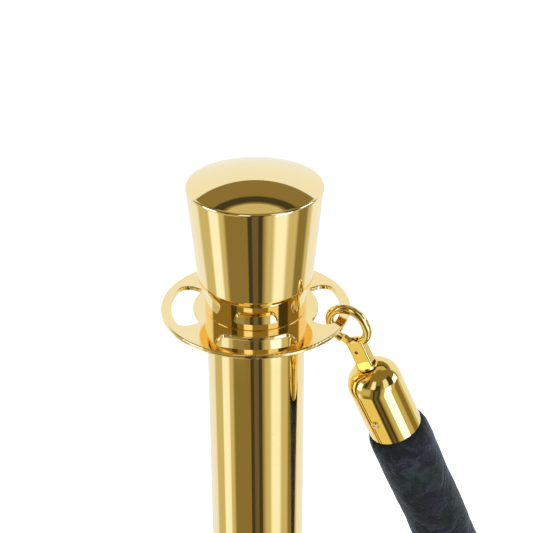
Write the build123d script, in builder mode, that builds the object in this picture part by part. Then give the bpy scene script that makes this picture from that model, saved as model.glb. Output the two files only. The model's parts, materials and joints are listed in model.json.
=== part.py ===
"""Rope barrier stanchion with a crown top, a slotted ring plate and one velvet rope with snap-hook ends.

Units are millimetres. The origin is on the floor at the centre of the base, +Z is up, and -Y is the front.
"""

from build123d import *
import math
import os

os.makedirs("parts", exist_ok=True)

# ---------------------------------------------------------------- driving dimensions
TOTAL_HEIGHT = 950.0
BASE_RADIUS = 160.5
TUBE_RADIUS = 25.4
TUBE_WALL = 1.2
CROWN_TOP_RADIUS = 34.2
CROWN_FOOT_RADIUS = 29.35
CROWN_CONE_HEIGHT = 50.3
CROWN_DOME_HEIGHT = 6.5
COLLAR_RADIUS = 26.0
COLLAR_HEIGHT = 17.6
GROOVE_HEIGHT = 3.0
PLATE_RADIUS = 48.6
PLATE_THICKNESS = 2.4
SLOT_INNER_RADIUS = 32.2
SLOT_OUTER_RADIUS = 43.2
SLOT_HALF_ANGLE = 30.0
EDGE_ROUNDING = 0.6
ROPE_RADIUS = 16.8
ROPE_LENGTH = 1290.0
FERRULE_RADIUS = 14.5
FERRULE_LENGTH = 43.2
FERRULE_WALL = 1.2

# ---------------------------------------------------------------- heights along the post
CROWN_FOOT_Z = TOTAL_HEIGHT - CROWN_DOME_HEIGHT - CROWN_CONE_HEIGHT
PLATE_TOP_Z = CROWN_FOOT_Z - COLLAR_HEIGHT
PLATE_FOOT_Z = PLATE_TOP_Z - PLATE_THICKNESS
HUB_TOP_Z = 34.0
TUBE_INNER_RADIUS = TUBE_RADIUS - TUBE_WALL
COVER_TOP_Z = 41.0
COVER_WALL = 1.0
COVER_RADIUS = 158.0
RING_FLOOR_Z = 3.0
RING_INNER_RADIUS = 148.0
WEIGHT_RADIUS = 155.0
COUNTERBORE_RADIUS = 18.0
COUNTERBORE_DEPTH = 11.5
WASHER_THICKNESS = 2.5
SPRING_WASHER_THICKNESS = 2.0
BOLT_HEAD_HEIGHT = 6.5
LOWER_PLUG_LENGTH = 24.0
UPPER_PLUG_LENGTH = 22.0
FLANGE_RADIUS = 42.0
FLANGE_NECK_RADIUS = 30.0
FLANGE_HEIGHT = 17.0
BOLT_RADIUS = 6.0
STUD_RADIUS = 5.0
THREAD_GAP = 0.05


def save(part, name):
    """Labels a finished piece and writes its STEP file."""
    part.label = name
    export_step(part, f"parts/{name}.step")


def ring_part(outer, inner, low, high):
    """A plain ring or, with no inner radius, a disc between two heights."""
    with BuildPart() as made:
        with BuildSketch(Plane.XY.offset(low)):
            Circle(outer)
            if inner:
                Circle(inner, mode=Mode.SUBTRACT)
        extrude(amount=high - low)
    return made.part


# ---------------------------------------------------------------- base
def floor_ring():
    """Rubber ring under the rim of the base, with an outer lip that the cover sits in."""
    lip = COVER_RADIUS + 0.3
    with BuildPart() as ring:
        with BuildSketch(Plane.XZ):
            with BuildLine():
                Polyline(
                    (RING_INNER_RADIUS, 0),
                    (BASE_RADIUS, 0),
                    (BASE_RADIUS, 9),
                    (lip, 9),
                    (lip, RING_FLOOR_Z),
                    (RING_INNER_RADIUS, RING_FLOOR_Z),
                    close=True,
                )
            make_face()
        revolve(axis=Axis.Z)
        fillet(ring.edges().filter_by(GeomType.CIRCLE).sort_by(SortBy.RADIUS)[-2:], 0.8)
    save(ring.part, "floor_ring")


def base_weight():
    """Cast weight: a disc with a raised hub, a bolt hole and a counterbore for the bolt's head."""
    with BuildPart() as weight:
        with BuildSketch(Plane.XZ):
            with BuildLine():
                Polyline(
                    (0, RING_FLOOR_Z),
                    (WEIGHT_RADIUS, RING_FLOOR_Z),
                    (WEIGHT_RADIUS, 10.5),
                    (110, 26),
                    (44, HUB_TOP_Z),
                    (0, HUB_TOP_Z),
                    close=True,
                )
            make_face()
        revolve(axis=Axis.Z)
        with BuildSketch(Plane.XY.offset(RING_FLOOR_Z)):
            Circle(COUNTERBORE_RADIUS)
        extrude(amount=COUNTERBORE_DEPTH, mode=Mode.SUBTRACT)
        with BuildSketch(Plane.XY):
            Circle(BOLT_RADIUS + 0.6)
        extrude(amount=HUB_TOP_Z, mode=Mode.SUBTRACT)
    save(weight.part, "base_weight")


def base_cover():
    """Spun metal cover: a shallow dome with a turned-down rim and a hole for the post."""
    hole = TUBE_RADIUS + 0.4
    inner = COVER_RADIUS - COVER_WALL
    with BuildPart() as cover:
        with BuildSketch(Plane.XZ):
            with BuildLine():
                top = FilletPolyline(
                    (COVER_RADIUS, RING_FLOOR_Z),
                    (COVER_RADIUS, 14),
                    (112, 28.5),
                    (46, COVER_TOP_Z),
                    (hole, COVER_TOP_Z),
                    radius=[7, 150, 30],
                )
                under = FilletPolyline(
                    (inner, RING_FLOOR_Z),
                    (inner, 13.2),
                    (111.8, 27.4),
                    (45.8, COVER_TOP_Z - COVER_WALL),
                    (hole, COVER_TOP_Z - COVER_WALL),
                    radius=[6, 150, 30],
                )
                Line(top @ 0, under @ 0)
                Line(top @ 1, under @ 1)
            make_face()
        revolve(axis=Axis.Z)
    save(cover.part, "base_cover")


def post_flange():
    """Bell-shaped trim ring that hides where the post enters the cover."""
    bore = TUBE_RADIUS + 0.1
    with BuildPart() as flange:
        with BuildSketch(Plane.XZ):
            with BuildLine():
                foot = Line((bore, COVER_TOP_Z), (FLANGE_RADIUS, COVER_TOP_Z))
                side = Line(foot @ 1, (FLANGE_RADIUS, COVER_TOP_Z + 2.5))
                bell = RadiusArc(side @ 1, (FLANGE_NECK_RADIUS, COVER_TOP_Z + 12), 16)
                neck = Line(bell @ 1, (FLANGE_NECK_RADIUS, COVER_TOP_Z + FLANGE_HEIGHT))
                top = Line(neck @ 1, (bore, COVER_TOP_Z + FLANGE_HEIGHT))
                Line(top @ 1, foot @ 0)
            make_face()
        revolve(axis=Axis.Z)
        top_edge = flange.edges().filter_by(GeomType.CIRCLE).group_by(Axis.Z)[-1]
        fillet(top_edge.sort_by(SortBy.RADIUS)[-1], 1.5)
    save(flange.part, "post_flange")


def base_fasteners():
    """The bolt that clamps the weight to the post from below, and its two washers."""
    washer_top = RING_FLOOR_Z + COUNTERBORE_DEPTH
    washer_low = washer_top - WASHER_THICKNESS
    save(ring_part(16, BOLT_RADIUS + 0.3, washer_low, washer_top), "base_washer")
    spring_low = washer_low - SPRING_WASHER_THICKNESS
    with BuildPart() as spring_washer:
        with BuildSketch(Plane.XY.offset(spring_low)):
            Circle(10.2)
            Circle(BOLT_RADIUS + 0.3, mode=Mode.SUBTRACT)
            with Locations((8.2, 0)):
                Rectangle(4.6, 1.4, mode=Mode.SUBTRACT)
        extrude(amount=SPRING_WASHER_THICKNESS)
    save(spring_washer.part, "base_spring_washer")
    with BuildPart() as bolt:
        with BuildSketch(Plane.XY.offset(spring_low - BOLT_HEAD_HEIGHT)):
            RegularPolygon(9.5, 6, major_radius=False)
        extrude(amount=BOLT_HEAD_HEIGHT)
        chamfer(bolt.edges().group_by(Axis.Z)[0], 0.6)
        with BuildSketch(Plane.XY.offset(spring_low)):
            Circle(BOLT_RADIUS)
        extrude(amount=HUB_TOP_Z + 18 - spring_low)
        chamfer(bolt.edges().group_by(Axis.Z)[-1], 0.8)
    save(bolt.part, "base_bolt")


# ---------------------------------------------------------------- post
def post():
    """The tube and the two plugs pressed into its ends."""
    save(ring_part(TUBE_RADIUS, TUBE_INNER_RADIUS, HUB_TOP_Z, PLATE_FOOT_Z), "post_tube")
    lower_top = HUB_TOP_Z + LOWER_PLUG_LENGTH
    save(ring_part(TUBE_INNER_RADIUS, BOLT_RADIUS + THREAD_GAP, HUB_TOP_Z, lower_top), "lower_plug")
    upper_low = PLATE_FOOT_Z - UPPER_PLUG_LENGTH
    save(ring_part(TUBE_INNER_RADIUS, STUD_RADIUS + THREAD_GAP, upper_low, PLATE_FOOT_Z), "upper_plug")


def ring_plate():
    """Flat disc with four curved slots that the rope hooks clip into."""
    outer_corner, inner_corner = 5.0, 1.8
    hub_radius = STUD_RADIUS + 0.3
    hub_rim = 2 * math.pi * hub_radius
    with BuildPart() as plate:
        with BuildSketch(Plane.XY.offset(PLATE_FOOT_Z)):
            Circle(PLATE_RADIUS)
            Circle(hub_radius, mode=Mode.SUBTRACT)
        extrude(amount=PLATE_THICKNESS)
        for turn in range(0, 360, 90):
            low, high = turn - SLOT_HALF_ANGLE, turn + SLOT_HALF_ANGLE
            with BuildSketch(Plane.XY.offset(PLATE_FOOT_Z)) as slot:
                with BuildLine():
                    wide = CenterArc((0, 0), SLOT_OUTER_RADIUS, low, high - low)
                    narrow = CenterArc((0, 0), SLOT_INNER_RADIUS, low, high - low)
                    Line(wide @ 0, narrow @ 0)
                    Line(wide @ 1, narrow @ 1)
                make_face()
                corners = slot.vertices().sort_by_distance((0, 0, PLATE_FOOT_Z))
                fillet(corners[:2], inner_corner)
                corners = slot.vertices().sort_by_distance((0, 0, PLATE_FOOT_Z))
                fillet(corners[-2:], outer_corner)
            extrude(amount=PLATE_THICKNESS, mode=Mode.SUBTRACT)
        rims = plate.faces().filter_by(Axis.Z).edges()
        fillet(rims.filter_by(lambda e: abs(e.length - hub_rim) > 0.1), EDGE_ROUNDING)
    save(plate.part, "ring_plate")


# ---------------------------------------------------------------- crown
def neck_collar():
    """Sleeve between the ring plate and the crown, with a stepped-in neck just under the crown."""
    bore = COLLAR_RADIUS - 3.0
    groove_z = CROWN_FOOT_Z - GROOVE_HEIGHT
    with BuildPart() as collar:
        with BuildSketch(Plane.XY.offset(PLATE_TOP_Z)):
            Circle(COLLAR_RADIUS)
            Circle(bore, mode=Mode.SUBTRACT)
        extrude(amount=COLLAR_HEIGHT - GROOVE_HEIGHT)
        rims = collar.edges().filter_by(GeomType.CIRCLE)
        outer = rims.filter_by(lambda e: e.radius > COLLAR_RADIUS - 0.1).sort_by(Axis.Z)
        chamfer(outer[-1], 0.7)
        fillet(outer[0], 0.5)
        with BuildSketch(Plane.XY.offset(groove_z)):
            Circle(COLLAR_RADIUS - 1.4)
            Circle(bore, mode=Mode.SUBTRACT)
        extrude(amount=GROOVE_HEIGHT)
    save(collar.part, "neck_collar")


def crown_solid(shrink, rounding):
    """The crown's cone and low dome as a solid, offset inwards by a wall's thickness."""
    dome = (CROWN_TOP_RADIUS**2 + CROWN_DOME_HEIGHT**2) / (2 * CROWN_DOME_HEIGHT) - shrink
    shoulder_z = CROWN_FOOT_Z + CROWN_CONE_HEIGHT - shrink
    shoulder = CROWN_TOP_RADIUS - shrink
    centre_z = shoulder_z - math.sqrt(dome**2 - shoulder**2)
    half = math.asin(shoulder / dome) / 2
    with BuildPart() as made:
        with BuildSketch(Plane.XZ) as section:
            with BuildLine():
                foot = Line((0, CROWN_FOOT_Z), (CROWN_FOOT_RADIUS - shrink, CROWN_FOOT_Z))
                side = Line(foot @ 1, (shoulder, shoulder_z))
                over = (dome * math.sin(half), centre_z + dome * math.cos(half))
                top = ThreePointArc(side @ 1, over, (0, centre_z + dome))
                Line(top @ 1, foot @ 0)
            make_face()
            fillet(section.vertices().sort_by_distance(Vector(*side @ 1))[0], rounding)
        revolve(axis=Axis.Z)
    return made.part


def crown():
    """The hollow crown, the disc that closes it, and the stud and nut that hold it down."""
    with BuildPart() as shell:
        add(crown_solid(0, 1.5))
        add(crown_solid(1.2, 0.5), mode=Mode.SUBTRACT)
    save(shell.part, "crown_shell")
    disc_top = CROWN_FOOT_Z + 3.0
    disc_radius = CROWN_FOOT_RADIUS - 1.25
    save(ring_part(disc_radius, STUD_RADIUS + THREAD_GAP, CROWN_FOOT_Z, disc_top), "crown_disc")
    with BuildPart() as nut:
        with BuildSketch(Plane.XY.offset(disc_top)):
            RegularPolygon(8.5, 6, major_radius=False)
            Circle(STUD_RADIUS + THREAD_GAP, mode=Mode.SUBTRACT)
        extrude(amount=8)
    save(nut.part, "crown_nut")
    with BuildPart() as stud:
        with BuildSketch(Plane.XY.offset(PLATE_FOOT_Z - 18)):
            Circle(STUD_RADIUS)
        extrude(amount=disc_top + 11 - PLATE_FOOT_Z + 18)
        chamfer(stud.edges().filter_by(GeomType.CIRCLE), 0.7)
    save(stud.part, "crown_stud")


# ---------------------------------------------------------------- snap hook, in its own frame
# X runs across the hook, Y along its axis away from the rope, Z is square to the ring.
RING_RADIUS = 9.6
RING_STRETCH = 3.0
WIRE_RADIUS = 2.4
BODY_HALF_WIDTH = 4.75
BODY_HALF_DEPTH = 2.75
BODY_TOP_Y = -11.3
BODY_FOOT_Y = -27.0
FERRULE_TOP_Y = -29.0
FERRULE_MOUTH_Y = FERRULE_TOP_Y - FERRULE_LENGTH
STEM_RADIUS = 2.95
PIVOT = (-0.9, -17.8)
PIVOT_RADIUS = 1.0
NOSE_SWING = 17.9
GATE_SWING = 17.55
TONGUE_HALF_DEPTH = 1.25
SLOT_HALF_DEPTH = 1.6
SLOT_WALL_X = 2.7
SPRING_Y = -13.6
SCREW_RADIUS = 1.4
SCREW_UP = 14.0
SCREW_ANGLE = 95.0


def hook_body():
    """Body with the fixed arm of the ring, a slot for the gate, and the swivel stem below."""
    with BuildPart() as body:
        with BuildSketch(Plane.XY.offset(-BODY_HALF_DEPTH)):
            with Locations((0, (BODY_TOP_Y + BODY_FOOT_Y) / 2)):
                Rectangle(2 * BODY_HALF_WIDTH, BODY_TOP_Y - BODY_FOOT_Y)
        extrude(amount=2 * BODY_HALF_DEPTH)
        fillet(body.edges().filter_by(Axis.Y), 0.9)
        with BuildSketch(Plane.XZ.offset(-BODY_FOOT_Y)):
            Circle(5.8)
        extrude(amount=BODY_FOOT_Y - FERRULE_TOP_Y - 0.35)
        with BuildSketch(Plane.XZ.offset(-BODY_FOOT_Y)):
            Circle(STEM_RADIUS)
        extrude(amount=BODY_FOOT_Y - FERRULE_TOP_Y + 4.4)
        with BuildSketch(Plane.XZ.offset(-FERRULE_TOP_Y + 2.9)):
            Circle(4.3)
        extrude(amount=1.5)
        with BuildLine() as arm:
            low = CenterArc((0, -RING_STRETCH), RING_RADIUS, -74, 74)
            side = Line(low @ 1, (RING_RADIUS, 0))
            top = CenterArc((0, 0), RING_RADIUS, 0, 180)
            Line(top @ 1, (-RING_RADIUS, -6))
        with BuildSketch(Plane(origin=arm.line @ 0, z_dir=arm.line % 0)):
            Circle(WIRE_RADIUS)
        sweep(path=arm.line)
        with BuildSketch(Plane.XY.offset(-SLOT_HALF_DEPTH)):
            with Locations((SLOT_WALL_X - 6, -15.9)):
                Rectangle(12, 13.4)
        extrude(amount=2 * SLOT_HALF_DEPTH, mode=Mode.SUBTRACT)
        with BuildSketch(Plane.XY.offset(-BODY_HALF_DEPTH)):
            with Locations(PIVOT):
                Circle(PIVOT_RADIUS)
        extrude(amount=2 * BODY_HALF_DEPTH, mode=Mode.SUBTRACT)
        with BuildSketch(Plane.XY.offset(-BODY_HALF_DEPTH)):
            with Locations(PIVOT):
                Circle(NOSE_SWING)
            with Locations((-RING_RADIUS, -4)):
                Rectangle(6, 8, mode=Mode.INTERSECT)
        extrude(amount=2 * BODY_HALF_DEPTH, mode=Mode.SUBTRACT)
    return body.part


def hook_gate():
    """Curved gate that closes the ring, with a flat tongue that turns on the pin."""
    with BuildPart() as gate:
        with BuildLine() as bow:
            lead = Line((-RING_RADIUS, 1.5), (-RING_RADIUS, -RING_STRETCH))
            CenterArc((0, -RING_STRETCH), RING_RADIUS, 180, 42)
        with BuildSketch(Plane(origin=lead @ 0, z_dir=lead % 0)):
            Circle(WIRE_RADIUS - 0.05)
        sweep(path=bow.line)
        with BuildSketch(Plane.XY.offset(-BODY_HALF_DEPTH)):
            with Locations(PIVOT):
                Circle(GATE_SWING)
        extrude(amount=2 * BODY_HALF_DEPTH, mode=Mode.INTERSECT)
        with BuildSketch(Plane.XY.offset(-TONGUE_HALF_DEPTH)):
            with BuildLine():
                Polyline(
                    (-3.2, -18.3),
                    (1.4, -17.3),
                    (-2.4, -11.8),
                    (-4.7, -8.2),
                    (-7.4, -6.7),
                    (-9.0, -8.6),
                    (-6.2, -12.3),
                    close=True,
                )
            make_face()
            with Locations(PIVOT):
                Circle(2.4)
        extrude(amount=2 * TONGUE_HALF_DEPTH)
        with BuildSketch(Plane.XY.offset(-TONGUE_HALF_DEPTH)):
            with Locations(PIVOT):
                Circle(PIVOT_RADIUS + 0.05)
        extrude(amount=2 * TONGUE_HALF_DEPTH, mode=Mode.SUBTRACT)
    return gate.part


def gate_pin():
    """Rivet that the gate turns on, standing just proud of the body's faces."""
    with BuildPart() as pin:
        with BuildSketch(Plane.XY.offset(-BODY_HALF_DEPTH - 0.25)):
            with Locations(PIVOT):
                Circle(PIVOT_RADIUS)
        extrude(amount=2 * BODY_HALF_DEPTH + 0.5)
        chamfer(pin.edges().filter_by(GeomType.CIRCLE), 0.2)
    return pin.part


def gate_spring():
    """Small coil spring in the body's slot, behind the gate's tongue."""
    coil_radius, wire, turns = 0.85, 0.2, 3
    low, high = -0.1, SLOT_WALL_X - 0.05
    pitch = (high - low - 2 * wire) / turns
    with BuildPart() as spring:
        with BuildLine() as coil:
            Helix(pitch, pitch * turns, coil_radius)
        with BuildSketch(Plane(origin=coil.line @ 0, z_dir=coil.line % 0)):
            Circle(wire)
        sweep(path=coil.line, is_frenet=True)
    seat = Plane(origin=(low + wire, SPRING_Y, 0), x_dir=(0, 1, 0), z_dir=(1, 0, 0))
    return spring.part.moved(seat.location)


def ferrule():
    """Domed metal cap on the rope's end, with a hole for the hook's stem and two screw holes."""
    radius, wall = FERRULE_RADIUS, FERRULE_WALL
    with BuildPart() as cap:
        for shrink, mode in ((0.0, Mode.ADD), (wall, Mode.SUBTRACT)):
            r = radius - shrink
            top = FERRULE_TOP_Y - shrink
            with BuildSketch(Plane.XY):
                with BuildLine():
                    Polyline((0, FERRULE_MOUTH_Y), (r, FERRULE_MOUTH_Y), (r, top - r + 3))
                    CenterArc((3, top - r + 3), r - 3, 0, 90)
                    Polyline((3, top), (0, top), (0, FERRULE_MOUTH_Y))
                make_face()
            revolve(axis=Axis.Y, mode=mode)
        with BuildSketch(Plane.XZ.offset(-FERRULE_TOP_Y - 1)):
            Circle(STEM_RADIUS + 0.05)
        extrude(amount=4, mode=Mode.SUBTRACT)
        with BuildSketch(screw_plane()):
            Circle(SCREW_RADIUS)
        extrude(amount=2 * radius, both=True, mode=Mode.SUBTRACT)
        for side in (1, -1):
            with BuildSketch(screw_plane().offset(side * (radius - 0.35))):
                Circle(2.45)
            extrude(amount=side * 3, mode=Mode.SUBTRACT)
    return cap.part


def screw_plane():
    """Plane through the ferrule's axis, square to the two screws."""
    turn = math.radians(SCREW_ANGLE)
    out = (math.cos(turn), 0, math.sin(turn))
    return Plane(origin=(0, FERRULE_MOUTH_Y + SCREW_UP, 0), x_dir=(0, 1, 0), z_dir=out)


def ferrule_screws():
    """Two cross-head screws that pin the rope's end inside the ferrule."""
    with BuildPart() as screws:
        for side in (1, -1):
            head = screw_plane().offset(side * (FERRULE_RADIUS - 0.35))
            if side < 0:
                head = Plane(origin=head.origin, x_dir=head.x_dir, z_dir=-head.z_dir)
            with BuildSketch(head):
                Circle(2.35)
            extrude(amount=1.25, taper=20)
            with BuildSketch(head):
                Circle(SCREW_RADIUS)
            extrude(amount=-7)
            with BuildSketch(head.offset(0.7)):
                Rectangle(2.3, 0.5)
                Rectangle(0.5, 2.3)
            extrude(amount=1.0, mode=Mode.SUBTRACT)
    return screws.part


def rope_plug():
    """The bound end of the rope's core, pressed into the ferrule and drilled for the screws."""
    with BuildPart() as plug:
        with BuildSketch(Plane.XZ.offset(-FERRULE_MOUTH_Y)):
            Circle(FERRULE_RADIUS - FERRULE_WALL - 0.05)
        extrude(amount=-24)
        with BuildSketch(screw_plane()):
            Circle(SCREW_RADIUS + 0.02)
        extrude(amount=2 * FERRULE_RADIUS, both=True, mode=Mode.SUBTRACT)
    return plug.part


def swivel_washer():
    """Washer between the ferrule's dome and the stem's peened head."""
    with BuildPart() as washer:
        with BuildSketch(Plane.XZ.offset(-FERRULE_TOP_Y + FERRULE_WALL + 0.55)):
            Circle(5.0)
            Circle(STEM_RADIUS + 0.05, mode=Mode.SUBTRACT)
        extrude(amount=1.1)
    return washer.part


# ---------------------------------------------------------------- where the hooks and the rope lie
def unit(x, y, z):
    return Vector(x, y, z).normalized()


# The near hook's ring holds the band between a slot and the plate's rim; its rope leads away to the right.
NEAR_ORIGIN = Vector(46.5, -10.5, PLATE_TOP_Z - 5.2)
NEAR_AXIS = unit(-0.382, -0.065, 0.922)
NEAR_ACROSS = unit(0.832, -0.4575, 0.312)
near_normal = NEAR_ACROSS.cross(NEAR_AXIS).normalized()
near_frame = Plane(origin=NEAR_ORIGIN, x_dir=NEAR_AXIS.cross(near_normal), z_dir=near_normal)
rope_start = near_frame.from_local_coords(Vector(0, FERRULE_MOUTH_Y, 0))

# The rope's route: down past the base's rim, then round the back of the base on the floor.
ROPE_FLOOR_Z = ROPE_RADIUS + 0.3
FREE_RUN = 106.0
rope_route = [
    tuple(rope_start),
    tuple(rope_start - NEAR_AXIS * FREE_RUN),
    (150.5, 10.0, 600.0),
    (172.5, 18.0, 470.0),
    (182.0, 28.0, 345.0),
    (185.5, 38.0, 240.0),
    (185.5, 52.0, 150.0),
    (179.0, 77.0, 88.0),
    (158.0, 117.5, 41.5),
    (114.0, 160.0, ROPE_FLOOR_Z),
    (50.0, 191.0, ROPE_FLOOR_Z),
    (-24.0, 197.0, ROPE_FLOOR_Z),
    (-97.0, 171.0, ROPE_FLOOR_Z),
    (-154.0, 120.0, ROPE_FLOOR_Z),
    (-186.0, 59.0, ROPE_FLOOR_Z),
]


def rope_radii(points):
    """The arc radius at each corner of a route: as large as its two runs allow."""
    radii = []
    for before, here, after in zip(points, points[1:], points[2:]):
        back, ahead = Vector(*here) - Vector(*before), Vector(*after) - Vector(*here)
        half_turn = math.radians(back.get_angle(ahead)) / 2
        radii.append(0.45 * min(back.length, ahead.length) / math.tan(half_turn))
    return radii


def rope_path(points):
    """The rope's centre line: straight runs joined by arcs."""
    with BuildLine() as line:
        FilletPolyline(*points, radius=rope_radii(points))
    return line.wires()[0]


# The last run takes up what is left of the rope's length.
END_HEADING = unit(-0.21, -0.978, 0)
last_run = 60.0
for _ in range(12):
    last_point = Vector(*rope_route[-1]) + END_HEADING * last_run
    shortfall = ROPE_LENGTH - rope_path(rope_route + [tuple(last_point)]).length
    last_run = max(20.0, last_run + shortfall)
rope_end = Vector(*rope_route[-1]) + END_HEADING * last_run
full_route = rope_route + [tuple(rope_end)]

far_frame = Plane(
    origin=rope_end - END_HEADING * FERRULE_MOUTH_Y,
    x_dir=END_HEADING.cross(Vector(0, 0, 1)),
    z_dir=(0, 0, 1),
)


def rope():
    """The plush rope between the two ferrules' mouths."""
    path = rope_path(full_route)
    with BuildPart() as tube:
        with BuildSketch(Plane(origin=path @ 0, z_dir=path % 0)):
            Circle(ROPE_RADIUS)
        sweep(path=path)
    save(tube.part, "rope")
    wanted = math.pi * ROPE_RADIUS**2 * path.length
    print("rope length", round(path.length, 1), "volume share", round(tube.part.volume / wanted, 4))
    print("rope last run", round(last_run, 1), "radii", [round(r) for r in rope_radii(full_route)])
    print("rope end", rope_end)


def hook_set(frame, place):
    """One rope end: every piece of the hook and ferrule, moved from the hook's frame to its place."""
    pieces = {
        "hook_body": hook_body(),
        "hook_gate": hook_gate(),
        "gate_pin": gate_pin(),
        "gate_spring": gate_spring(),
        "swivel_washer": swivel_washer(),
        "ferrule": ferrule(),
        "ferrule_screws": ferrule_screws(),
        "rope_plug": rope_plug(),
    }
    for name, piece in pieces.items():
        save(piece.moved(frame.location), f"{place}_{name}")
    for label, way in (("X", frame.x_dir), ("Y", frame.y_dir), ("Z", frame.z_dir), ("O", frame.origin)):
        print(place, label, [round(value, 7) for value in way.to_tuple()])


floor_ring()
base_weight()
base_cover()
post_flange()
base_fasteners()
post()
ring_plate()
neck_collar()
crown()
rope()
hook_set(near_frame, "near")
hook_set(far_frame, "far")
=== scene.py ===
import json
import math

import bmesh
import bpy
from mathutils import Euler, Matrix, Vector, noise


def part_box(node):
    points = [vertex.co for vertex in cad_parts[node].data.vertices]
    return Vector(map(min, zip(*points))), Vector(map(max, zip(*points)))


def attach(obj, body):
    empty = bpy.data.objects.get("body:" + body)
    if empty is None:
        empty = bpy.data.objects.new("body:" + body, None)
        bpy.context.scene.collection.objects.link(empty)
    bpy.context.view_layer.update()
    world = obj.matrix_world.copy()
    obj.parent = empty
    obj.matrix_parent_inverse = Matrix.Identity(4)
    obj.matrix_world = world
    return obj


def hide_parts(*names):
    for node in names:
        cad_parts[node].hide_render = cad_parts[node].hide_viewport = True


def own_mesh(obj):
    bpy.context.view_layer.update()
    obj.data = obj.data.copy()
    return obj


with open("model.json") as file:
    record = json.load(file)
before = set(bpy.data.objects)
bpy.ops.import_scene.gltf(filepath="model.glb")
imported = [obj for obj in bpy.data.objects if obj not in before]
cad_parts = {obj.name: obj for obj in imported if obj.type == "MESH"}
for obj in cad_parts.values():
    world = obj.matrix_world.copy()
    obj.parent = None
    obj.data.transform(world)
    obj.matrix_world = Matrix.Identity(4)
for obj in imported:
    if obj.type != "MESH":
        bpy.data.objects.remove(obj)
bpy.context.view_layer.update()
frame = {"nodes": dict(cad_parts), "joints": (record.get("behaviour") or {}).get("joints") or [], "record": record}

scene = bpy.context.scene
nodes = frame["nodes"]

# ---------------------------------------------------------------- camera
EYE_BACK = 0.595
EYE_OVER_PLATE = 0.346
TILT_DOWN = math.radians(28.55)
PAN_RIGHT = math.radians(0.54)
ROLL = math.radians(-0.23)
LENS = 90.6
plate_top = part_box("ring_plate")[1].z
eye = Vector((0.0, -EYE_BACK, plate_top + EYE_OVER_PLATE))
cam_data = bpy.data.cameras.new("camera")
cam_data.lens = LENS
cam_data.sensor_width = 36.0
cam_data.clip_start = 0.05
cam_data.clip_end = 60.0
cam = bpy.data.objects.new("camera", cam_data)
scene.collection.objects.link(cam)
facing = Euler((math.pi / 2 - TILT_DOWN, 0.0, -PAN_RIGHT)).to_matrix().to_4x4()
cam.matrix_world = Matrix.Translation(eye) @ facing @ Matrix.Rotation(ROLL, 4, "Z")
scene.camera = cam


# ---------------------------------------------------------------- small helpers
class Graph:
    """A node tree with short calls for adding nodes and joining them."""

    def __init__(self, tree):
        self.tree = tree
        tree.nodes.clear()

    def add(self, kind, **settings):
        made = self.tree.nodes.new(kind)
        inputs = settings.pop("inputs", {})
        for key, value in settings.items():
            setattr(made, key, value)
        for key, value in inputs.items():
            self.feed(made, key, value)
        return made

    def feed(self, node, key, value):
        socket = node.inputs[key]
        if isinstance(value, bpy.types.NodeSocket):
            self.tree.links.new(value, socket)
        else:
            socket.default_value = value

    def math(self, op, a, b=0.0, c=0.0):
        made = self.add("ShaderNodeMath", operation=op)
        for i, value in enumerate((a, b, c)):
            self.feed(made, i, value)
        return made.outputs[0]

    def mix(self, share, a, b):
        made = self.add("ShaderNodeMix", data_type="RGBA")
        made.clamp_factor = True
        for key, value in ((0, share), (6, a), (7, b)):
            self.feed(made, key, value)
        return made.outputs[2]

    def ramp(self, share, stops):
        """A grey level at each place, and straight lines between them."""
        made = self.add("ShaderNodeValToRGB")
        self.feed(made, "Fac", share)
        found = made.color_ramp.elements
        while len(found) < len(stops):
            found.new(0.5)
        for item, (place, level) in zip(found, stops):
            item.position = place
            item.color = (level, level, level, 1.0)
        return made.outputs["Color"]

    def noise(self, where, scale, detail=2.0, rough=0.5, distort=0.0, out="Fac"):
        made = self.add("ShaderNodeTexNoise", inputs={"Vector": where, "Scale": scale})
        made.inputs["Detail"].default_value = detail
        made.inputs["Roughness"].default_value = rough
        made.inputs["Distortion"].default_value = distort
        return made.outputs[out]

    def bump(self, height, distance, strength=1.0, normal=None):
        made = self.add("ShaderNodeBump", inputs={"Height": height})
        made.inputs["Distance"].default_value = distance
        made.inputs["Strength"].default_value = strength
        if normal is not None:
            self.feed(made, "Normal", normal)
        return made.outputs[0]


def material(name, **settings):
    """A Principled material: its graph, the shader, and object coordinates in metres."""
    made = bpy.data.materials.new(name)
    made.use_nodes = True
    g = Graph(made.node_tree)
    out = g.add("ShaderNodeOutputMaterial")
    shader = g.add("ShaderNodeBsdfPrincipled")
    g.tree.links.new(shader.outputs[0], out.inputs[0])
    for key, value in settings.items():
        socket = shader.inputs[key.replace("_", " ")]
        socket.default_value = tuple(value) + (1.0,) if isinstance(value, tuple) else value
    where = g.add("ShaderNodeTexCoord").outputs["Object"]
    return made, g, shader, where


def dress(name, mat):
    """Gives a CAD node one material, without touching its mesh."""
    obj = nodes[name]
    if not obj.material_slots:
        obj.data.materials.append(mat)
    for slot in obj.material_slots:
        slot.link = "OBJECT"
        slot.material = mat


# ---------------------------------------------------------------- rope
MM = 0.001
ROPE_DIAMETER = 0.0336
MOUTH = 72.2 * MM
FREE_RUN = 106 * MM
LYING = 17.1
joints = {joint["name"]: joint for joint in frame["joints"]}
near_swivel, far_swivel = joints["near_hook_swivel"], joints["far_hook_swivel"]
near_axis = Vector(near_swivel["axis"])
rope_start = Vector(near_swivel["pos_m"]) - near_axis * MOUTH
rope_end = Vector(far_swivel["pos_m"]) - Vector(far_swivel["axis"]) * MOUTH
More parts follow.
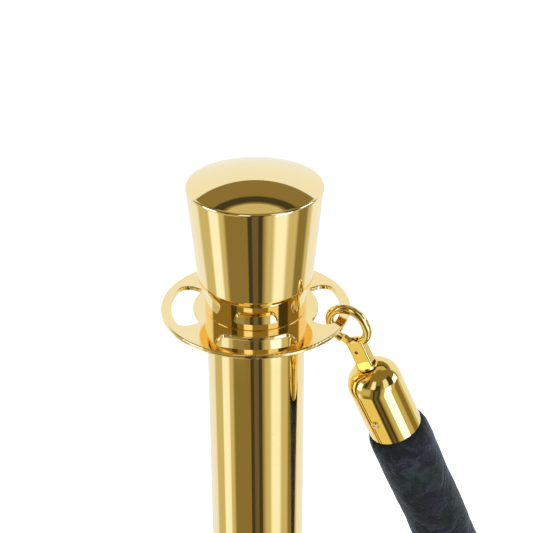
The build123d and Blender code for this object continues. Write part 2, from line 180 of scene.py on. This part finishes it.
# Between its ends, the rope's points are in millimetres, and LYING is how high its middle is on the floor.
hanging_and_lying = [
    Vector(p) * MM
    for p in (
        (150.5, 10.0, 600.0),
        (172.5, 18.0, 470.0),
        (182.0, 28.0, 345.0),
        (185.5, 38.0, 240.0),
        (185.5, 52.0, 150.0),
        (179.0, 77.0, 88.0),
        (158.0, 117.5, 41.5),
        (114.0, 160.0, LYING),
        (50.0, 191.0, LYING),
        (-24.0, 197.0, LYING),
        (-97.0, 171.0, LYING),
        (-154.0, 120.0, LYING),
        (-186.0, 59.0, LYING),
    )
]
route = [rope_start, rope_start - near_axis * FREE_RUN, *hanging_and_lying, rope_end]


def spline_points(points, resolution):
    """The line that a NURBS spline with those control points takes, as points in order."""
    curve = bpy.data.curves.new("line", "CURVE")
    curve.dimensions = "3D"
    spline = curve.splines.new("NURBS")
    spline.points.add(len(points) - 1)
    for place, point in zip(spline.points, points):
        place.co = (*point, 1.0)
    spline.order_u = 3
    spline.use_endpoint_u = True
    spline.resolution_u = resolution
    holder = bpy.data.objects.new("line", curve)
    scene.collection.objects.link(holder)
    mesh = bpy.data.meshes.new_from_object(holder)
    line = [v.co.copy() for v in mesh.vertices]
    bpy.data.objects.remove(holder)
    bpy.data.meshes.remove(mesh)
    return line


def even(line, gap):
    """Points about gap apart along a line."""
    made, carried = [line[0].copy()], 0.0
    for a, b in zip(line, line[1:]):
        length = (b - a).length
        while carried + length >= gap:
            a = a + (b - a) * ((gap - carried) / (b - a).length)
            made.append(a.copy())
            length = (b - a).length
            carried = 0.0
        carried += length
    if (made[-1] - line[-1]).length > 0.4 * gap:
        made.append(line[-1].copy())
    else:
        made[-1] = line[-1].copy()
    return made


def rings(line, side):
    """A frame at each point: (point, side, other side), carried along without twisting."""
    made = []
    for i, point in enumerate(line):
        along = (line[min(i + 1, len(line) - 1)] - line[max(i - 1, 0)]).normalized()
        side = (side - along * side.dot(along)).normalized()
        made.append((point, side, along.cross(side)))
    return made


def skin(name, mesh, loops):
    """A smooth closed piece through loops of points that all have the same count."""
    count = len(loops[0])
    for a, b in zip(loops, loops[1:]):
        for k in range(count):
            mesh.faces.new((a[k], a[(k + 1) % count], b[(k + 1) % count], b[k]))
    for loop, flip in ((loops[0], True), (loops[-1], False)):
        middle = mesh.verts.new(sum((v.co for v in loop), Vector()) / count)
        for k in range(count):
            pair = (loop[(k + 1) % count], loop[k]) if flip else (loop[k], loop[(k + 1) % count])
            mesh.faces.new((*pair, middle))
    bmesh.ops.recalc_face_normals(mesh, faces=mesh.faces)
    data = bpy.data.meshes.new(name)
    mesh.to_mesh(data)
    mesh.free()
    for face in data.polygons:
        face.use_smooth = True
    obj = bpy.data.objects.new(name, data)
    scene.collection.objects.link(obj)
    return obj


# What shapes the velvet's surface. Depths and reaches are in metres.
CREASE_DEPTH, CREASE_SCALE = 0.00042, 55
CRUSH_DEPTH, CRUSH_SCALE = 0.00022, 160
PLEAT_DEPTH, PLEAT_COUNT, PLEAT_REACH = 0.00022, 22, 0.006
GATHER_SHARE, GATHER_REACH = 0.13, 0.0022
BULGE_SHARE, BULGE_FROM_END, BULGE_REACH = 0.015, 0.012, 0.007
SLACK = 0.00015
SPLINE_RESOLUTION = 40


def build_rope():
    """The velvet tube: creased and crushed all along, gathered and pleated where it enters a ferrule."""
    gap, count = ((0.0016, 96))
    line = even(spline_points(route, SPLINE_RESOLUTION), gap)
    total = sum((b - a).length for a, b in zip(line, line[1:]))
    half = ROPE_DIAMETER / 2
    mesh = bmesh.new()
    loops, run = [], 0.0
    previous = line[0]
    for point, side, other in rings(line, Vector((0, 1, 0))):
        run += (point - previous).length
        previous = point
        to_end = min(run, total - run)
        bulge = BULGE_SHARE * math.exp(-(((to_end - BULGE_FROM_END) / BULGE_REACH) ** 2))
        girth = 1.0 - GATHER_SHARE * math.exp(-to_end / GATHER_REACH) + bulge
        pleating = PLEAT_DEPTH * math.exp(-to_end / PLEAT_REACH)
        loop = []
        for k in range(count):
            angle = 2 * math.pi * k / count
            out = side * math.cos(angle) + other * math.sin(angle)
            place = point + out * half
            crease = noise.noise(place * CREASE_SCALE + Vector((3.1, 0, 0)))
            crush = noise.noise(place * CRUSH_SCALE + Vector((0, 7.7, 0)))
            lump = CREASE_DEPTH * crease + CRUSH_DEPTH * crush
            pleat = pleating * math.cos(angle * PLEAT_COUNT + 2.2 * crease)
            loop.append(mesh.verts.new(point + out * (half * girth + lump + pleat - SLACK)))
        loops.append(loop)
    return skin("velvet_rope", mesh, loops), line


rope, rope_line = build_rope()
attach(rope, "stanchion")
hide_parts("rope")


# ---------------------------------------------------------------- gate springs
SPRING_LOW, SPRING_HIGH = -0.1 * MM, 2.65 * MM
SPRING_DROP = 13.6 * MM
COIL_RADIUS = 0.85 * MM
WIRE_RADIUS = 0.2 * MM
COIL_TURNS = 4
COIL_STEPS = 96
WIRE_SIDES = 10


def gate_spring(side):
    """The coil behind a gate's tongue."""
    swivel, hinge = joints[side + "_hook_swivel"], joints[side + "_gate_hinge"]
    up, across_hook = Vector(swivel["axis"]), -Vector(hinge["axis"])
    along = up.cross(across_hook)
    seat = Vector(swivel["pos_m"]) - up * SPRING_DROP
    low, high = SPRING_LOW + WIRE_RADIUS, SPRING_HIGH - WIRE_RADIUS
    line = []
    for i in range(COIL_STEPS + 1):
        share = i / COIL_STEPS
        angle = 2 * math.pi * COIL_TURNS * share
        out = up * math.cos(angle) + across_hook * math.sin(angle)
        line.append(seat + along * (low + (high - low) * share) + out * COIL_RADIUS)
    mesh = bmesh.new()
    loops = []
    angles = [2 * math.pi * k / WIRE_SIDES for k in range(WIRE_SIDES)]
    for point, first, second in rings(line, along):
        outs = [first * math.cos(a) + second * math.sin(a) for a in angles]
        loops.append([mesh.verts.new(point + out * WIRE_RADIUS) for out in outs])
    piece = skin(side + "_coil_spring", mesh, loops)
    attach(piece, side + "_hook")
    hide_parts(side + "_gate_spring")
    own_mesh(piece)
    return piece


springs = [gate_spring(side) for side in ("near", "far")]


# ---------------------------------------------------------------- materials
def velvet():
    """Crushed velvet: near-black pile lying in patches, with a cool sheen where it lies over, painted into the
    colour as lighter, bluer patches.
    """
    mat, g, shader, where = material("velvet", Roughness=0.85, Sheen_Roughness=0.32, Sheen_Weight=0.62)
    shader.inputs["Sheen Tint"].default_value = (0.46, 0.53, 0.60, 1)
    shader.inputs["Specular IOR Level"].default_value = 0.12
    warp = g.noise(where, 60.0, 3.0, 0.6, 0.6, "Color")
    shifted = g.add("ShaderNodeVectorMath", operation="MULTIPLY_ADD")
    g.feed(shifted, 0, warp)
    shifted.inputs[1].default_value = (0.012, 0.012, 0.012)
    g.feed(shifted, 2, where)
    patches = g.noise(shifted.outputs[0], 105.0, 5.0, 0.66, 0.8)
    hue = g.noise(where, 70.0, 2.0, 0.5, 0.5)
    # The darker colours are the pile's own tone, drifting at random between green and blue; the lighter, bluer
    # ones are painted sheen.
    green_dark, blue_dark = (0.006, 0.0082, 0.0072, 1), (0.0068, 0.0068, 0.0105, 1)
    green_painted_sheen, blue_painted_sheen = (0.019, 0.028, 0.028, 1), (0.025, 0.028, 0.039, 1)
    dark = g.mix(g.ramp(hue, [(0.38, 0), (0.62, 1)]), green_dark, blue_dark)
    light = g.mix(g.ramp(hue, [(0.40, 0), (0.60, 1)]), green_painted_sheen, blue_painted_sheen)
    broad = g.math("MULTIPLY_ADD", g.noise(where, 24.0, 2.0, 0.5), 0.35, -0.175)
    # Where the patches rise, the colour turns from the pile's own tone to the painted sheen.
    share = g.ramp(g.math("ADD", patches, broad), [(0.42, 0), (0.56, 0.3), (0.72, 1)])
    g.feed(shader, "Base Color", g.mix(share, dark, light))
    pile = g.noise(where, 2600.0, 2.0, 0.75)
    soft = g.bump(patches, 0.0014, 0.9)
    g.feed(shader, "Normal", g.bump(pile, 0.0003, 0.6, soft))
    return mat


def stretched(g, where, scale):
    """Coordinates scaled unevenly, so that noise on them draws out into lines."""
    made = g.add("ShaderNodeVectorMath", operation="MULTIPLY")
    g.feed(made, 0, where)
    made.inputs[1].default_value = scale
    return made.outputs[0]


def polished(name, colour, rough, grain=(700.0, 700.0, 9.0), rings_of_spinning=0.0):
    """Mirror-polished plating: slight colour drift, polishing lines, haze, and a few dull specks."""
    mat, g, shader, where = material(name, Metallic=1.0)
    drift = g.noise(where, 9.0, 3.0, 0.5)
    warm = tuple(c * k for c, k in zip(colour, (0.985, 0.955, 0.86))) + (1.0,)
    cool = tuple(min(1.0, c * k) for c, k in zip(colour, (1.0, 1.01, 1.07))) + (1.0,)
    tint = g.mix(g.ramp(drift, [(0.35, 0), (0.65, 1)]), warm, cool)
    specks = g.ramp(g.noise(where, 900.0, 1.0, 0.3), [(0.72, 0), (0.79, 1)])
    dull = tuple(c * 0.72 for c in colour) + (1.0,)
    g.feed(shader, "Base Color", g.mix(g.math("MULTIPLY", specks, 0.35), tint, dull))
    haze = g.ramp(g.noise(where, 18.0, 4.0, 0.65), [(0.40, 0), (0.75, 1)])
    lines = g.noise(stretched(g, where, grain), 1.0, 2.0, 0.6)
    level = g.math("MULTIPLY_ADD", haze, 0.035, rough)
    level = g.math("MULTIPLY_ADD", lines, 0.012, level)
    level = g.math("MULTIPLY_ADD", specks, 0.10, level)
    g.feed(shader, "Roughness", level)
    height = lines
    if rings_of_spinning:
        parts = g.add("ShaderNodeSeparateXYZ", inputs={0: where}).outputs
        squares = [g.math("MULTIPLY", part, part) for part in parts[:2]]
        from_axis = g.math("SQRT", g.math("ADD", *squares))
        turns = g.add("ShaderNodeCombineXYZ", inputs={0: g.math("MULTIPLY", from_axis, 1400.0)})
        height = g.noise(turns.outputs[0], 1.0, 2.0, 0.6)
        level = g.math("MULTIPLY_ADD", height, rings_of_spinning, level)
        g.feed(shader, "Roughness", level)
    swell = g.bump(g.noise(where, 34.0, 1.0, 0.4), 0.00002, 0.5)
    g.feed(shader, "Normal", g.bump(height, 0.0000012, 0.5, swell))
    return mat


def rubber():
    """Moulded black rubber with a fine matt grain and a little grey dust."""
    mat, g, shader, where = material("rubber", Specular_IOR_Level=0.3)
    dust = g.ramp(g.noise(where, 45.0, 5.0, 0.7), [(0.45, 0), (0.75, 1)])
    g.feed(shader, "Base Color", g.mix(dust, (0.012, 0.012, 0.012, 1), (0.05, 0.048, 0.045, 1)))
    g.feed(shader, "Roughness", g.math("MULTIPLY_ADD", dust, 0.2, 0.62))
    g.feed(shader, "Normal", g.bump(g.noise(where, 1800.0, 2.0, 0.6), 0.0002, 0.6))
    return mat


def cast_iron():
    """Rough sand-cast iron under thin black paint, with rust showing in the pits."""
    mat, g, shader, where = material("cast_iron", Metallic=0.2)
    sand = g.noise(where, 420.0, 5.0, 0.7)
    pits = g.ramp(g.noise(where, 130.0, 4.0, 0.7), [(0.60, 0), (0.68, 1)])
    g.feed(shader, "Base Color", g.mix(pits, (0.022, 0.022, 0.025, 1), (0.11, 0.045, 0.02, 1)))
    g.feed(shader, "Roughness", g.math("MULTIPLY_ADD", sand, 0.35, 0.45))
    g.feed(shader, "Normal", g.bump(sand, 0.0009, 0.7))
    return mat


def zinc_steel():
    """Zinc-plated steel: a faint spangle, a cold tint and fine turning marks."""
    mat, g, shader, where = material("steel", Metallic=1.0)
    spangle = g.add("ShaderNodeTexVoronoi", inputs={"Vector": where, "Scale": 700.0})
    parts = g.add("ShaderNodeSeparateColor", inputs={0: spangle.outputs["Color"]}).outputs
    g.feed(shader, "Base Color", g.mix(parts[0], (0.50, 0.52, 0.56, 1), (0.66, 0.66, 0.62, 1)))
    marks = g.noise(stretched(g, where, (300.0, 300.0, 3000.0)), 1.0, 3.0, 0.6)
    g.feed(shader, "Roughness", g.math("MULTIPLY_ADD", marks, 0.18, 0.20))
    g.feed(shader, "Normal", g.bump(marks, 0.00003, 0.5))
    return mat


def bound_core():
    """The rope's core: off-white cotton yarn, bound tight, with painted shade in the grooves between its strands.
    """
    mat, g, shader, where = material("core", Sheen_Weight=0.3)
    yarn = g.add("ShaderNodeTexWave", wave_type="BANDS", bands_direction="DIAGONAL", inputs={"Vector": where})
    for key, value in (("Scale", 260.0), ("Distortion", 2.5), ("Detail", 2.0)):
        yarn.inputs[key].default_value = value
    twist = yarn.outputs["Fac"]
    # The dark colour falls on the low parts of the bump, the grooves between the strands: painted shade.
    g.feed(shader, "Base Color", g.mix(twist, (0.30, 0.26, 0.20, 1), (0.66, 0.62, 0.54, 1)))
    g.feed(shader, "Roughness", g.math("MULTIPLY_ADD", twist, 0.1, 0.8))
    g.feed(shader, "Normal", g.bump(twist, 0.0004, 0.8))
    return mat


def rivet():
    """Burnished rivet, dark with polishing paste left round its head."""
    mat, g, shader, where = material("rivet", Metallic=1.0)
    grime = g.ramp(g.noise(where, 900.0, 3.0, 0.6), [(0.35, 0), (0.65, 1)])
    g.feed(shader, "Base Color", g.mix(grime, (0.10, 0.065, 0.02, 1), (0.30, 0.21, 0.08, 1)))
    g.feed(shader, "Roughness", g.math("MULTIPLY_ADD", grime, 0.2, 0.3))
    return mat


GOLD = (1.0, 0.785, 0.35)
BRASS = (0.97, 0.745, 0.26)
by_slot = {
    "finish_gold": polished("polished_gold", GOLD, 0.012),
    "hook_brass": polished("hook_brass", BRASS, 0.03, (420.0, 420.0, 420.0)),
    "velvet": velvet(),
    "rubber": rubber(),
    "cast_iron": cast_iron(),
    "steel": zinc_steel(),
    "screw_brass": polished("screw_brass", (0.93, 0.74, 0.38), 0.10, (900.0, 900.0, 900.0)),
    "core": bound_core(),
}
for entry in frame["record"]["subparts"]:
    dress(entry["node"], by_slot[entry["material_slot"]])
spun_gold = polished("spun_gold", GOLD, 0.03, rings_of_spinning=0.05)
for name in ("base_cover", "post_flange", "crown_disc"):
    dress(name, spun_gold)
dress("ring_plate", polished("stamped_gold", GOLD, 0.035, (160.0, 1600.0, 160.0)))
pin_metal = rivet()
for name in ("near_gate_pin", "far_gate_pin"):
    dress(name, pin_metal)
rope.data.materials.append(by_slot["velvet"])
for spring in springs:
    spring.data.materials.append(by_slot["steel"])

# ---------------------------------------------------------------- floor and light
floor_mesh = bpy.data.meshes.new("floor")
floor_mesh.from_pydata([(-14, -8, 0), (14, -8, 0), (14, 22, 0), (-14, 22, 0)], [], [(0, 1, 2, 3)])
floor = bpy.data.objects.new("floor", floor_mesh)
scene.collection.objects.link(floor)
pale, _, shader, _ = material("floor", Base_Color=(0.86, 0.86, 0.86), Roughness=0.9)
shader.inputs["Emission Color"].default_value = (1, 1, 1, 1)
shader.inputs["Emission Strength"].default_value = 0.45
floor_mesh.materials.append(pale)
floor.visible_glossy = False

world = bpy.data.worlds.new("studio")
scene.world = world
world.use_nodes = True
g = Graph(world.node_tree)
out = g.add("ShaderNodeOutputWorld")
direction = g.add("ShaderNodeTexCoord").outputs["Generated"]
x, y, z = g.add("ShaderNodeSeparateXYZ", inputs={0: direction}).outputs
azimuth = g.math("MULTIPLY", g.math("ARCTAN2", x, g.math("MULTIPLY", y, -1.0)), 180 / math.pi)
rise = g.math("MULTIPLY", g.math("ARCSINE", z), 180 / math.pi)
away = g.math("ABSOLUTE", azimuth)

# What the gold mirrors: a dim warm room with a pale backdrop, strip lights, cards and dark flags. Each stands
# at an azimuth, where 0 is the front and 90 is +X, and at an elevation, both in degrees.
LAMP = (1.6, 2.0, 3.6, 1)
WHITE = (1.0, 1.1, 1.3, 1)
PALE = (0.9, 0.95, 1.1, 1)
CREAM = (0.85, 0.75, 0.4, 1)
SAND = (0.6, 0.55, 0.35, 1)
BRONZE = (0.25, 0.2, 0.08, 1)
DUSK = (0.15, 0.12, 0.08, 1)
DARK = (0.06, 0.05, 0.03, 1)
NADIR, ZENITH, BEHIND = -200.0, 200.0, 400.0
BACKDROP_TOP = 35.0
BACKDROP_SLOPE = 25.0
BACKDROP_SIDE = 120.0


def between(value, low, high, soft):
    """1 where value lies between low and high, falling to 0 over soft degrees on either side."""
    share = 1.0
    for start, end in ((low - soft, low), (high + soft, high)):
        edge = g.add("ShaderNodeMapRange", interpolation_type="SMOOTHSTEP")
        for key, number in (("Value", value), ("From Min", start), ("From Max", end)):
            g.feed(edge, key, number)
        share = g.math("MULTIPLY", share, edge.outputs[0])
    return share


def panel(behind_it, tone, sides, heights, soft, round_by=azimuth):
    """A panel of one tone with soft edges, set in front of what is behind it."""
    share = g.math("MULTIPLY", between(round_by, *sides, soft), between(rise, *heights, soft))
    return g.mix(share, behind_it, tone)


mirrored = BRONZE
for tone, sides, heights, soft in (
    (SAND, (-120, -60), (NADIR, 0), 8),
    (WHITE, (-85, -70), (NADIR, 20), 6),
    (SAND, (25, 120), (NADIR, 0), 12),
    (WHITE, (40, 55), (NADIR, 0), 10),
    (BRONZE, (85, 100), (NADIR, 0), 8),
    (DARK, (-12, 12), (NADIR, 25), 3),
    (DUSK, (-4, 4), (NADIR, 0), 3),
    (WHITE, (-25, -10), (10, 45), 4),
    (PALE, (30, 50), (10, 45), 4),
    (DARK, (55, 75), (10, 45), 5),
    (DARK, (-55, -45), (10, 45), 4),
    (BRONZE, (-120, 120), (55, ZENITH), 8),
    (SAND, (-80, -30), (-25, 0), 9),
    (CREAM, (-80, -20), (NADIR, -50), 4),
    (LAMP, (35, 60), (-30, 5), 3),
    (LAMP, (80, 105), (5, 25), 3),
    (LAMP, (-90, -65), (-10, 20), 3),
):
    mirrored = panel(mirrored, tone, sides, heights, soft)

# The backdrop's upper edge is a straight line, so it stands higher away from the middle of the back.
span = g.math("SQRT", g.math("SUBTRACT", 1.0, g.math("MULTIPLY", z, z)))
backness = g.math("DIVIDE", y, g.math("MAXIMUM", span, 0.001))
raised = g.math("MULTIPLY", g.math("SUBTRACT", 1.0, backness), BACKDROP_SLOPE)
edge_rise = g.math("SUBTRACT", rise, raised)
mirrored = panel(mirrored, PALE, (BACKDROP_SIDE, BEHIND), (NADIR, BACKDROP_TOP), 10, away)
ceiling = BRONZE
for tone, heights in ((DARK, (53, 57)), (SAND, (60, 75))):
    ceiling = panel(ceiling, tone, (BACKDROP_SIDE, BEHIND), heights, 1.5, away)
behind = between(away, BACKDROP_SIDE, BEHIND, 20)
over_edge = between(edge_rise, BACKDROP_TOP, ZENITH, 0.5)
mirrored = g.mix(g.math("MULTIPLY", behind, over_edge), mirrored, ceiling)
path = g.add("ShaderNodeLightPath")
mirror = g.add("ShaderNodeBackground", inputs={"Color": mirrored, "Strength": 1.0})
plain = g.add("ShaderNodeBackground", inputs={"Color": (1, 1, 1, 1), "Strength": 1.0})
choices = {0: path.outputs["Is Glossy Ray"], 1: plain.outputs[0], 2: mirror.outputs[0]}
pick = g.add("ShaderNodeMixShader", inputs=choices)
g.tree.links.new(pick.outputs[0], out.inputs[0])


def key_light():
    """One soft lamp to the right of the front, which the gold itself doesn't mirror."""
    place, target = Vector((1.6, -1.2, 1.9)), Vector((0, 0, 0.8))
    data = bpy.data.lights.new("key", "AREA")
    data.shape = "RECTANGLE"
    data.size = data.size_y = 0.8
    data.energy = 30
    lamp = bpy.data.objects.new("key", data)
    scene.collection.objects.link(lamp)
    lamp.location = place
    lamp.rotation_mode = "QUATERNION"
    lamp.rotation_quaternion = (target - place).to_track_quat("-Z", "Y")
    lamp.visible_glossy = False


key_light()

scene.view_settings.view_transform = "Standard"
scene.view_settings.look = "None"
